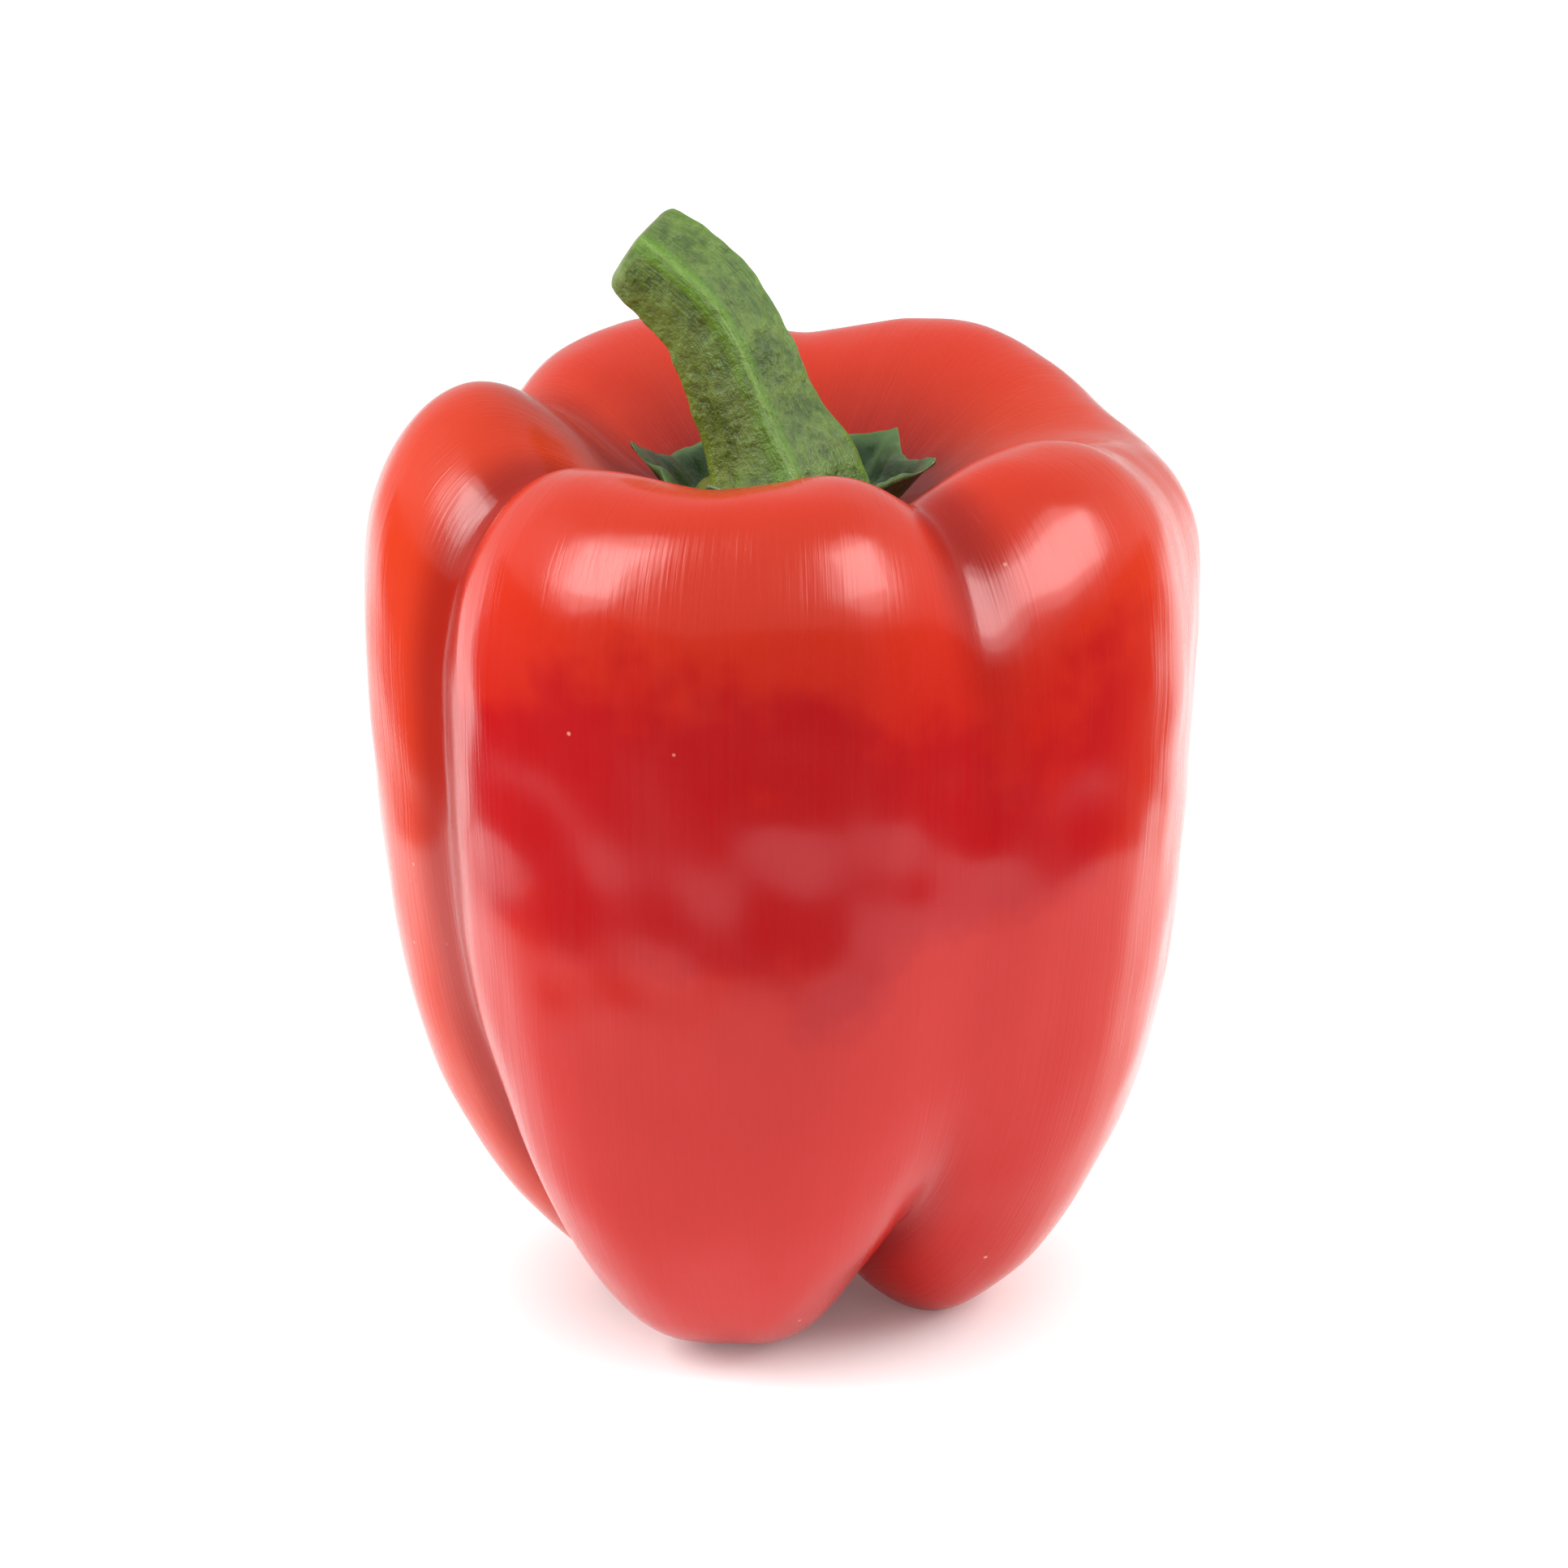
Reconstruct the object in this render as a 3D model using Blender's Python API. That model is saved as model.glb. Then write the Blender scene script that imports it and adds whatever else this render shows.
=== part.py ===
"""Red bell pepper: a blocky lobed fruit, its star-shaped calyx and its bent stem.

Run with: blender --background --python part.py

Frame: +Z up, the floor under the feet at z = 0, the front of the fruit towards -Y.
Shapes are worked out in millimetres round the fruit's growth axis, and scaled to metres last.
Each piece is a surface of two directions: round the axis, and along it from pole to pole.
"""

from typing import NamedTuple

import bmesh
import bpy
import numpy as np

MM = 0.001
WELD = 0.00001
FULL_TURN = 360.0

# The growth axis stands this far from the middle of the finished object.
AXIS_X = 0.4
AXIS_Y = 0.5

# Room left between the fruit, the calyx and the stem.
GAP = 0.3

# Where along the fruit the rim, the waist and the foot hand over to one another.
RIM_ENDS = 0.28
RIM_FADE = 0.25
FOOT_STARTS = 0.6
FOOT_FADE = 0.2


class Station(NamedTuple):
    """A height on the fruit: where the swell of a lobe and the floor of a groove pass."""

    name: str
    crest_r: float
    crest_z: float
    groove_r: float
    groove_z: float


class Lobe(NamedTuple):
    """A swelling of the wall. The angles are at the rim and at the foot, and the rest moves the crest."""

    name: str
    rim_angle: float
    foot_angle: float
    rim_out: float = 0.0
    rim_up: float = 0.0
    shoulder_out: float = 0.0
    waist_out: float = 0.0
    belly_out: float = 0.0
    foot_out: float = 0.0
    foot_up: float = 0.0


class Groove(NamedTuple):
    """The furrow after a lobe, with its depth and softness at the rim, the waist and the foot.

    A depth below 0 is a swell in place of a furrow.
    """

    name: str
    rim_angle: float
    foot_angle: float
    depth: tuple
    softness: tuple
    rim_ends: float = RIM_ENDS
    rim_fade: float = RIM_FADE


# From the middle of the crown, over the rim, down the wall, under the foot, to the blossom end.
STATIONS = (
    Station("eye", 0.0, 79.0, 0.0, 79.0),
    Station("floor", 6.0, 79.0, 6.0, 78.8),
    Station("cup", 12.0, 79.5, 11.0, 78.6),
    Station("wall", 17.5, 84.0, 15.5, 80.0),
    Station("inner", 22.5, 89.0, 19.5, 83.4),
    Station("rim", 28.5, 91.7, 24.5, 86.0),
    Station("outer", 35.0, 89.7, 30.0, 84.5),
    Station("shoulder", 39.8, 82.5, 34.5, 79.0),
    Station("upper", 41.4, 73.0, 36.6, 71.0),
    Station("high", 41.0, 62.0, 36.8, 61.0),
    Station("waist", 40.4, 51.0, 36.5, 51.0),
    Station("low", 39.6, 40.0, 35.4, 40.0),
    Station("belly", 37.4, 28.5, 32.4, 29.5),
    Station("heel", 33.5, 17.5, 27.5, 20.0),
    Station("ankle", 28.0, 8.0, 21.5, 13.0),
    Station("foot", 20.5, -0.1, 15.5, 9.5),
    Station("sole", 13.5, -0.9, 10.5, 8.2),
    Station("arch", 8.5, 3.5, 7.0, 8.2),
    Station("pit", 4.0, 7.5, 3.5, 8.6),
    Station("end", 0.0, 9.0, 0.0, 9.0),
)

# Round the fruit, counter-clockwise from the right-hand side as the front is faced.
LOBES = (
    Lobe("right", -31.0, -32.0, rim_up=-1.4, foot_out=1.2, foot_up=0.2),
    Lobe("right_rear", 5.0, 2.0, 0.3, -5.0, 0.3, -0.4, -0.2),
    Lobe("rear", 57.0, 66.0, 1.4, 1.9),
    Lobe("rear_left", 117.0, 112.0, 1.8, 1.2, 0.5),
    Lobe("left", 180.0, 178.0, 0.0, 1.4, 0.0, 0.1, -0.4, -3.6),
    Lobe("front_left", 236.0, 250.0, rim_up=-1.8, belly_out=4.0, foot_out=3.0, foot_up=0.6),
    Lobe("front", 277.0, 261.0, rim_up=-1.0, belly_out=2.4, foot_out=2.6, foot_up=0.6),
)

GROOVES = (
    Groove("right_fold", -11.0, -17.0, (0.2, 0.05, 0.0), (0.4, 0.4, 0.4)),
    Groove("right_seam", 26.0, 24.0, (0.05, 0.4, 0.9), (0.25, 0.25, 0.15)),
    Groove("rear_fold", 86.0, 88.0, (0.3, 0.4, 0.5), (0.3, 0.3, 0.2)),
    Groove("rear_seam", 152.0, 146.0, (0.75, 0.9, 1.0), (0.12, 0.12, 0.12)),
    Groove("left_seam", 208.0, 208.0, (1.0, 1.0, 1.0), (0.1, 0.1, 0.1)),
    Groove("front_fold", 256.0, 255.5, (0.35, 0.03, 0.0), (0.4, 0.4, 0.4), 0.23, 0.1),
    Groove("front_seam", 300.0, 298.0, (1.0, 0.45, 1.0), (0.15, 0.3, 0.12)),
)

# How square a lobe is at the rim, the waist and the foot: 1 is a plain sine, less is blockier.
LOBE_BLOCKINESS = (0.85, 0.9, 0.72)

# The lobes lean round the fruit between these.
TWIST_STARTS = 0.38
TWIST_LENGTH = 0.5

# A change to a lobe is felt this many stations either side of its own.
RIM_REACH = 3.2
SHOULDER_REACH = 3.0
WAIST_REACH = 4.0
BELLY_REACH = 3.5
FOOT_REACH = 3.0

BODY_COLUMNS = 76
BODY_ROWS = 44

# The calyx is a star: a disc with six pointed sepals, seated in the crown.
SEPAL_ANGLES = (-4.0, 40.0, 108.0, 176.0, 240.0, 300.0)
SEPAL_LENGTHS = (14.8, 14.6, 14.2, 15.0, 14.4, 14.6)
CALYX_NOTCH_R = 12.4
SEPAL_HALF_ANGLE = 19.0
SEPAL_POINT = 1.4
SEPAL_CURL = 3.4
CURL_STARTS = 0.6
COLLAR_R = 8.6
COLLAR_TOP = 81.2
COLLAR_FADE = 2.0
SEPAL_THICK = 1.1
EDGE_THICK = 0.5
CALYX_COLUMNS = 72
CALYX_ROWS = 12

# The stem: the middle line from the calyx to the cut end, with the radius at each point.
STEM_LINE = (
    (-0.3, 0.4, 81.6),
    (-0.3, 0.4, 84.0),
    (-2.0, 0.9, 87.4),
    (-3.5, 1.6, 91.0),
    (-5.1, 2.4, 94.9),
    (-7.2, 3.3, 98.6),
    (-10.1, 4.3, 101.6),
    (-13.1, 5.2, 103.8),
)
STEM_RADII = (8.4, 7.2, 5.9, 5.6, 5.6, 5.6, 5.4, 5.0)
STEM_RIDGES = 5
STEM_RIDGE_TURN = -10.0
STEM_RIDGE_TWIST = 6.0
STEM_RIDGE_HEIGHT = 0.04
STEM_COLUMNS = 40
STEM_SIDE_ROWS = 16
STEM_CAP_ROWS = 5
CUT_ROUND = 1.6
CUT_ROUND_POWER = 4.0


def smooth(value):
    """The S-curve that leaves 0 level at 0 and reaches 1 level at 1."""
    held = np.clip(value, 0.0, 1.0)
    return held * held * (3.0 - 2.0 * held)


def spline(controls, places):
    """A uniform cubic B-spline through the end controls, read at places from 0 to 1."""
    first = 2.0 * controls[:1] - controls[1:2]
    last = 2.0 * controls[-1:] - controls[-2:-1]
    padded = np.concatenate([first, controls, last])
    spans = len(controls) - 1
    along = np.clip(places, 0.0, 1.0) * spans
    start = np.minimum(along.astype(int), spans - 1)
    t = (along - start)[:, None]
    weights = (
        (1.0 - t) ** 3,
        3.0 * t**3 - 6.0 * t**2 + 4.0,
        -3.0 * t**3 + 3.0 * t**2 + 3.0 * t + 1.0,
        t**3,
    )
    return sum(weight * padded[start + k] for k, weight in enumerate(weights)) / 6.0


def felt_at_stations(name, reach):
    """How far a change centred on the named station is felt at each one: a cosine window."""
    names = [station.name for station in STATIONS]
    away = np.abs(np.arange(len(names)) - names.index(name)) / reach
    return np.where(away < 1.0, 0.5 + 0.5 * np.cos(np.pi * away), 0.0)


def crest_change(lobe, along):
    """The outward and upward shift of a lobe's crest from the common profile."""
    rim = felt_at_stations("rim", RIM_REACH)
    out = lobe.rim_out * rim
    out = out + lobe.shoulder_out * felt_at_stations("shoulder", SHOULDER_REACH)
    out = out + lobe.waist_out * felt_at_stations("waist", WAIST_REACH)
    out = out + lobe.belly_out * felt_at_stations("heel", BELLY_REACH)
    foot = felt_at_stations("foot", FOOT_REACH)
    out = out + lobe.foot_out * foot
    return spline(np.stack([out, lobe.rim_up * rim + lobe.foot_up * foot], axis=1), along)


def by_height(values, along, rim_ends=RIM_ENDS, rim_fade=RIM_FADE):
    """Blends a value for the rim, one for the waist and one for the foot along the fruit."""
    rim = 1.0 - smooth((along - rim_ends) / rim_fade)
    foot = smooth((along - FOOT_STARTS) / FOOT_FADE)
    return values[0] * rim + values[1] * (1.0 - rim - foot) + values[2] * foot


def twisted(feature, along):
    """The angle of a lobe or groove, which leans from the rim's angle to the foot's."""
    turned = smooth((along - TWIST_STARTS) / TWIST_LENGTH)
    return feature.rim_angle + (feature.foot_angle - feature.rim_angle) * turned


def fullness(angles, before, after, groove, along):
    """How far the wall swells from groove floor, 0, to lobe crest, 1, between two crests."""
    middle = twisted(groove, along)
    reach = np.where(angles < middle, middle - before, after - middle)
    t = np.clip(np.abs(angles - middle) / reach, 0.0, 1.0)
    blunt = by_height(groove.softness, along)
    t = (np.sqrt(t * t + blunt * blunt) - blunt) / (np.sqrt(1.0 + blunt * blunt) - blunt)
    swell = np.sin(np.pi / 2.0 * t) ** by_height(LOBE_BLOCKINESS, along)
    depth = by_height(groove.depth, along, groove.rim_ends, groove.rim_fade)
    return 1.0 - depth + depth * swell


def body_profile(angles, along):
    """The radius and height of the fruit's wall, for each angle and each place along it."""
    crest = spline(np.array([station[1:3] for station in STATIONS]), along)
    floor = spline(np.array([station[3:5] for station in STATIONS]), along)
    changes = [crest_change(lobe, along) for lobe in LOBES]
    crest_angles = [twisted(lobe, along) for lobe in LOBES]
    turned = (angles[:, None] - crest_angles[0]) % FULL_TURN + crest_angles[0]
    profile = np.zeros(turned.shape + (2,))
    for i, groove in enumerate(GROOVES):
        after = (i + 1) % len(LOBES)
        ends = crest_angles[after] + (FULL_TURN if after == 0 else 0.0)
        share = smooth((turned - crest_angles[i]) / (ends - crest_angles[i]))[..., None]
        swell = fullness(turned, crest_angles[i], ends, groove, along)[..., None]
        outer = crest + changes[i] * (1.0 - share) + changes[after] * share
        here = (turned >= crest_angles[i]) & (turned < ends)
        profile[here] = (floor * (1.0 - swell) + outer * swell)[here]
    return profile


def round_axis(angles, radii, heights):
    """Points at these angles, in degrees, radii and heights."""
    turned = np.radians(angles)[:, None]
    return np.stack([radii * np.cos(turned), radii * np.sin(turned), heights], axis=-1)


def body_surface():
    """The fruit's skin. The feet are pressed flat where they meet the floor."""
    angles = np.arange(BODY_COLUMNS) * FULL_TURN / BODY_COLUMNS
    profile = body_profile(angles, np.linspace(0.0, 1.0, BODY_ROWS + 1))
    return round_axis(angles, profile[..., 0], np.maximum(profile[..., 1], 0.0))


def crown_height(angles, radii):
    """The height of the crown's hollow at these angles, for a row of radii at each."""
    rim = [station.name for station in STATIONS].index("rim") / (len(STATIONS) - 1)
    profile = body_profile(angles, np.linspace(0.0, rim, BODY_ROWS))
    rows = [np.interp(r, line[:, 0], line[:, 1]) for r, line in zip(radii, profile)]
    return np.array(rows)


def sepal_radius(angles):
    """The calyx's outline: a notched disc that each sepal lengthens to a point."""
    radius = np.full(len(angles), CALYX_NOTCH_R)
    for middle, length in zip(SEPAL_ANGLES, SEPAL_LENGTHS):
        away = np.abs((angles - middle + FULL_TURN / 2.0) % FULL_TURN - FULL_TURN / 2.0)
        share = np.clip(1.0 - away / SEPAL_HALF_ANGLE, 0.0, 1.0) ** SEPAL_POINT
        radius = np.maximum(radius, CALYX_NOTCH_R + (length - CALYX_NOTCH_R) * share)
    return radius


def calyx_surface():
    """The calyx: up from the middle of its underside, round its edge, and back over the top."""
    angles = np.arange(CALYX_COLUMNS) * FULL_TURN / CALYX_COLUMNS
    share = np.linspace(0.0, 1.0, CALYX_ROWS)
    radii = sepal_radius(angles)[:, None] * share
    curl = SEPAL_CURL * smooth((share - CURL_STARTS) / (1.0 - CURL_STARTS))
    under = crown_height(angles, radii) + GAP / 2.0 + curl
    under = np.maximum(under, under[:, :1])
    thick = SEPAL_THICK + (EDGE_THICK - SEPAL_THICK) * share
    collar = smooth((COLLAR_R + COLLAR_FADE - radii) / COLLAR_FADE)
    over = (under + thick) * (1.0 - collar) + COLLAR_TOP * collar
    under = under + GAP / 2.0
    radii = np.concatenate([radii, radii[:, ::-1]], axis=1)
    heights = np.concatenate([under, over[:, ::-1]], axis=1)
    return round_axis(angles, radii, heights)


def stem_frames(places):
    """The middle line of the stem with two unit directions square to it at each place."""
    centre = spline(np.array(STEM_LINE), places)
    tangent = np.gradient(centre, axis=0)
    tangent /= np.linalg.norm(tangent, axis=1, keepdims=True)
    side = np.cross((0.0, 1.0, 0.0), tangent)
    side /= np.linalg.norm(side, axis=1, keepdims=True)
    return centre, side, np.cross(tangent, side), tangent


def stem_surface():
    """The stem: out over its lower end, up its five-ridged side, and in over the cut end."""
    inward = np.linspace(0.0, 1.0, STEM_CAP_ROWS + 1)
    caps = np.zeros(STEM_CAP_ROWS)
    places = np.concatenate([caps, np.linspace(0.0, 1.0, STEM_SIDE_ROWS + 1), caps + 1.0])
    size = np.concatenate([inward[:-1], np.ones(STEM_SIDE_ROWS + 1), inward[-2::-1]])
    rounded = np.sqrt(1.0 - inward[-2::-1] ** CUT_ROUND_POWER)
    pushed = np.concatenate([np.zeros(STEM_CAP_ROWS + STEM_SIDE_ROWS + 1), rounded])
    side_places = np.linspace(0.0, 1.0, STEM_SIDE_ROWS + 1)
    frames = [
        np.concatenate([line[:1].repeat(STEM_CAP_ROWS, 0), line, line[-1:].repeat(STEM_CAP_ROWS, 0)])
        for line in stem_frames(side_places)
    ]
    centre, side, front, tangent = frames
    centre = centre + tangent * (CUT_ROUND * pushed)[:, None]
    radius = spline(np.array(STEM_RADII)[:, None], places)[:, 0] * size
    angles = np.radians(np.arange(STEM_COLUMNS) * FULL_TURN / STEM_COLUMNS)[:, None]
    turn = np.radians(STEM_RIDGE_TURN + STEM_RIDGE_TWIST * places)
    ridged = radius * (1.0 + STEM_RIDGE_HEIGHT * np.cos(STEM_RIDGES * (angles - turn)))
    across = (ridged * np.cos(angles))[..., None] * side
    return centre + across + (ridged * np.sin(angles))[..., None] * front


def clear_scene():
    """Removes every object that the file opened with."""
    for obj in list(bpy.data.objects):
        bpy.data.objects.remove(obj, do_unlink=True)


def make_material(name, colour, roughness):
    """A plain Principled material for one piece."""
    material = bpy.data.materials.new(name)
    material.use_nodes = True
    shader = material.node_tree.nodes["Principled BSDF"]
    shader.inputs["Base Color"].default_value = (*colour, 1.0)
    shader.inputs["Roughness"].default_value = roughness
    shader.inputs["Metallic"].default_value = 0.0
    return material


def skin_object(name, surface, material, parent):
    """Wraps a grid over the surface's points, welds its seam and poles, and makes it an object."""
    columns, rows = surface.shape[0], surface.shape[1] - 1
    body = bmesh.new()
    bmesh.ops.create_grid(body, x_segments=columns, y_segments=rows, size=0.5)
    for vertex in body.verts:
        column = round((vertex.co.x + 0.5) * columns) % columns
        row = round((vertex.co.y + 0.5) * rows)
        vertex.co = surface[column, row] * MM
    bmesh.ops.remove_doubles(body, verts=body.verts, dist=WELD)
    bmesh.ops.recalc_face_normals(body, faces=body.faces)
    mesh = bpy.data.meshes.new(name)
    body.to_mesh(mesh)
    body.free()
    mesh.shade_smooth()
    mesh.materials.append(material)
    piece = bpy.data.objects.new(name, mesh)
    piece.parent = parent
    bpy.context.collection.objects.link(piece)
    return piece


def main():
    """Builds the three pieces round one growth axis."""
    clear_scene()
    axis = bpy.data.objects.new("growth_axis", None)
    axis.location = (AXIS_X * MM, AXIS_Y * MM, 0.0)
    bpy.context.collection.objects.link(axis)
    skin = make_material("red_skin", (0.61, 0.032, 0.022), 0.22)
    leaf = make_material("calyx_green", (0.048, 0.092, 0.028), 0.5)
    stalk = make_material("stem_green", (0.118, 0.205, 0.05), 0.45)
    skin_object("fruit", body_surface(), skin, axis)
    skin_object("calyx", calyx_surface(), leaf, axis)
    skin_object("stem", stem_surface(), stalk, axis)


if __name__ == "__main__":
    main()
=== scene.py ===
"""Red bell pepper, dressed for a plain studio: glossy fruit, star-shaped calyx and bent stem.

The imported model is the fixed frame. Each of its nodes is replaced by a finer surface worked out
from the same stations, lobes and grooves, so the size and the place stay as they were made.
Shapes are worked out in millimetres round the growth axis and scaled to metres last.
"""

import logging
import math
from dataclasses import dataclass, field
from enum import Enum
from typing import Any, NamedTuple, Sequence, Union

import bpy
import numpy as np
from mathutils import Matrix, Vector


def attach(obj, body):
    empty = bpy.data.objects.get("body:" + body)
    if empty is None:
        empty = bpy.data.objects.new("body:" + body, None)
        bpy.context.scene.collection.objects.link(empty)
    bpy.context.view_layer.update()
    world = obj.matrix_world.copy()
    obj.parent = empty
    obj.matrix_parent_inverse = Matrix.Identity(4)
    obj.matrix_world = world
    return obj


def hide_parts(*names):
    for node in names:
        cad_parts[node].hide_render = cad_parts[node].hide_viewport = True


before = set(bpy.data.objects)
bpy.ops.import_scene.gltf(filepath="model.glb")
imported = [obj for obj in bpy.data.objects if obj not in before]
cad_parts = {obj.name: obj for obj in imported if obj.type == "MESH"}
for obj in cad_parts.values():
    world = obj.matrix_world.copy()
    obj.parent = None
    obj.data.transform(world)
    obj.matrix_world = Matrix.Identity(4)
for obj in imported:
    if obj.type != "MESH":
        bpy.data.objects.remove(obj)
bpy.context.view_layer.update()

LOG = logging.getLogger("bell_pepper")

MM = 0.001
FULL_TURN = 360.0
ROOT_BODY = "root"

# The growth axis stands this far from the middle of the object, in millimetres.
AXIS = np.array([0.4, 0.5, 0.0])

Array = np.ndarray
Piece = bpy.types.Object
Socket = bpy.types.NodeSocket
Pair = tuple[float, float]
Triple = tuple[float, float, float]
Colour = Triple
Surface = tuple[Array, dict[str, Array]]


class Node(str, Enum):
    """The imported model's nodes."""

    FRUIT = "fruit"
    CALYX = "calyx"
    STEM = "stem"


class Slot(str, Enum):
    """The record's material slots."""

    SKIN = "red_skin"
    LEAF = "calyx_green"
    STALK = "stem_green"


class Space(str, Enum):
    """Where a pattern takes its coordinates from."""

    OBJECT = "object"
    GROWTH = "growth"


# Curves, surfaces and ripples


def smooth(value: Any) -> Array:
    """The S-curve 3t^2 - 2t^3 of a value held between 0 and 1."""
    held = np.clip(value, 0.0, 1.0)
    return held * held * (3.0 - 2.0 * held)


def bell(value: Any, middle: float, width: float) -> Array:
    """The bell curve exp(-((value - middle) / width)^2)."""
    return np.exp(-(((value - middle) / width) ** 2))


def turn_between(angles: Any, middle: Any) -> Array:
    """The signed angle in degrees from middle to each angle, from -180 to 180."""
    return (angles - middle + FULL_TURN / 2.0) % FULL_TURN - FULL_TURN / 2.0


def round_turn(count: int) -> Array:
    """Evenly spaced angles round a full turn, in degrees."""
    return np.arange(count) * FULL_TURN / count


def spline(controls: Array, places: Array) -> Array:
    """A uniform cubic B-spline that starts and ends at its end controls.

    Each point is the weighted sum of four neighbouring controls, with the weights (1-t)^3,
    3t^3-6t^2+4, -3t^3+3t^2+3t+1 and t^3, over 6.

    Args:
        controls: the control values, one row each.
        places: how far along to read, from 0 to 1.

    Returns:
        One row for each place.
    """
    first = 2.0 * controls[:1] - controls[1:2]
    last = 2.0 * controls[-1:] - controls[-2:-1]
    padded = np.concatenate([first, controls, last])
    spans = len(controls) - 1
    along = np.clip(places, 0.0, 1.0) * spans
    start = np.minimum(along.astype(int), spans - 1)
    t = (along - start)[:, None]
    weights = (
        (1.0 - t) ** 3,
        3.0 * t**3 - 6.0 * t**2 + 4.0,
        -3.0 * t**3 + 3.0 * t**2 + 3.0 * t + 1.0,
        t**3,
    )
    return sum(weight * padded[start + k] for k, weight in enumerate(weights)) / 6.0


def round_axis(angles: Array, radii: Array, heights: Array) -> Array:
    """The points (r cos a, r sin a, z) for angles in degrees down the first direction."""
    turned = np.radians(angles)[:, None]
    return np.stack([radii * np.cos(turned), radii * np.sin(turned), heights], axis=-1)


def outward_normals(surface: Array) -> Array:
    """Unit normals of a surface that closes round its first direction.

    The normal is the cross product of the two directions' central differences, turned so that
    most of them point away from the surface's own middle.

    Args:
        surface: points, as columns by rows by 3.

    Returns:
        Normals of the same shape.
    """
    across = np.roll(surface, -1, axis=0) - np.roll(surface, 1, axis=0)
    normal = np.cross(across, np.gradient(surface, axis=1))
    normal = normal / np.maximum(np.linalg.norm(normal, axis=-1, keepdims=True), 1e-12)
    outward = (normal * (surface - surface.mean(axis=(0, 1)))).sum()
    return normal * np.sign(outward)


@dataclass(frozen=True)
class Ripples:
    """Soft unevenness: a sum of plane waves in random directions.

    Attributes:
        seed: picks the directions and the phases.
        wavelength: the length of the waves, in millimetres.
        height: about how far the waves swing either way, in millimetres.
        stretch: how much longer the waves are along Z than across it.
        count: how many waves are summed.
    """

    seed: int
    wavelength: float
    height: float
    stretch: float = 1.0
    count: int = 18

    def at(self, points: Array) -> Array:
        """The height at each point: the sum of cos(k.p + phase), scaled by its spread."""
        dice = np.random.default_rng(self.seed)
        ways = dice.normal(size=(self.count, 3))
        ways /= np.linalg.norm(ways, axis=1, keepdims=True)
        ways *= 2.0 * np.pi / self.wavelength * dice.uniform(0.7, 1.4, (self.count, 1))
        ways[:, 2] /= self.stretch
        phases = dice.uniform(0.0, 2.0 * np.pi, self.count)
        waves = np.cos(points @ ways.T + phases).sum(axis=-1)
        return self.height * waves / math.sqrt(self.count / 2.0)


def poled(grid: Array) -> Array:
    """A grid's values as one list, in which each pole stands once."""
    return np.concatenate([grid[0, :1], grid[:, 1:-1].reshape(-1, grid.shape[-1]), grid[0, -1:]])


def closed_skin(name: str, surface: Array, facts: dict[str, Array]) -> Piece:
    """Makes a closed mesh of a surface that runs round an axis from one pole to the other.

    The first and last rows are the poles, where all the columns meet in one point. The faces
    are four-cornered between rows and three-cornered at the poles. Where six times the signed
    volume, the sum of a . (b x c), is negative, every face is turned round.

    Args:
        name: the object's name.
        surface: points in millimetres, as columns by rows by 3.
        facts: point attributes, as columns by rows, or by 3 for a vector.

    Returns:
        The object, in metres, at the origin.
    """
    columns, rows = surface.shape[:2]
    inner = rows - 2
    points = poled(surface)
    column = np.arange(columns)
    beside = (column + 1) % columns
    row = np.arange(inner - 1)
    low = 1 + column[:, None] * inner + row
    high = 1 + beside[:, None] * inner + row
    quads = np.stack([low, low + 1, high + 1, high], axis=-1).reshape(-1, 4)
    last = len(points) - 1
    start_fan = np.stack([np.zeros_like(column), 1 + column * inner, 1 + beside * inner], -1)
    end_fan = np.stack([np.full_like(column, last), beside * inner + inner, column * inner + inner], -1)
    corners = points[quads]
    volume = np.einsum("ij,ij->i", corners[:, 0], np.cross(corners[:, 1], corners[:, 2])).sum()
    faces = [part[:, :: 1 if volume > 0 else -1].tolist() for part in (quads, start_fan, end_fan)]
    mesh = bpy.data.meshes.new(name)
    mesh.from_pydata(((points + AXIS) * MM).tolist(), [], faces[0] + faces[1] + faces[2])
    for fact, values in facts.items():
        flat = poled(values.reshape((columns, rows, -1)))
        vector = flat.shape[-1] == 3
        attribute = mesh.attributes.new(fact, "FLOAT_VECTOR" if vector else "FLOAT", "POINT")
        attribute.data.foreach_set("vector" if vector else "value", flat.astype(np.float32).ravel())
    mesh.shade_smooth()
    mesh.validate()
    piece = bpy.data.objects.new(name, mesh)
    bpy.context.collection.objects.link(piece)
    return piece


def grow(name: str, made: Surface, node: Node, finish: Any) -> Piece:
    """Makes a piece of a surface and puts it in place of its node, with its material.

    Args:
        name: the object's name.
        made: its points, and the facts that its finish reads.
        node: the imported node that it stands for.
        finish: what it is made of.

    Returns:
        The piece.
    """
    piece = closed_skin(name, *made)
    piece.data.materials.append(finish.make())
    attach(piece, ROOT_BODY)
    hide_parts(node.value)
    return piece


# Materials


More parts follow.
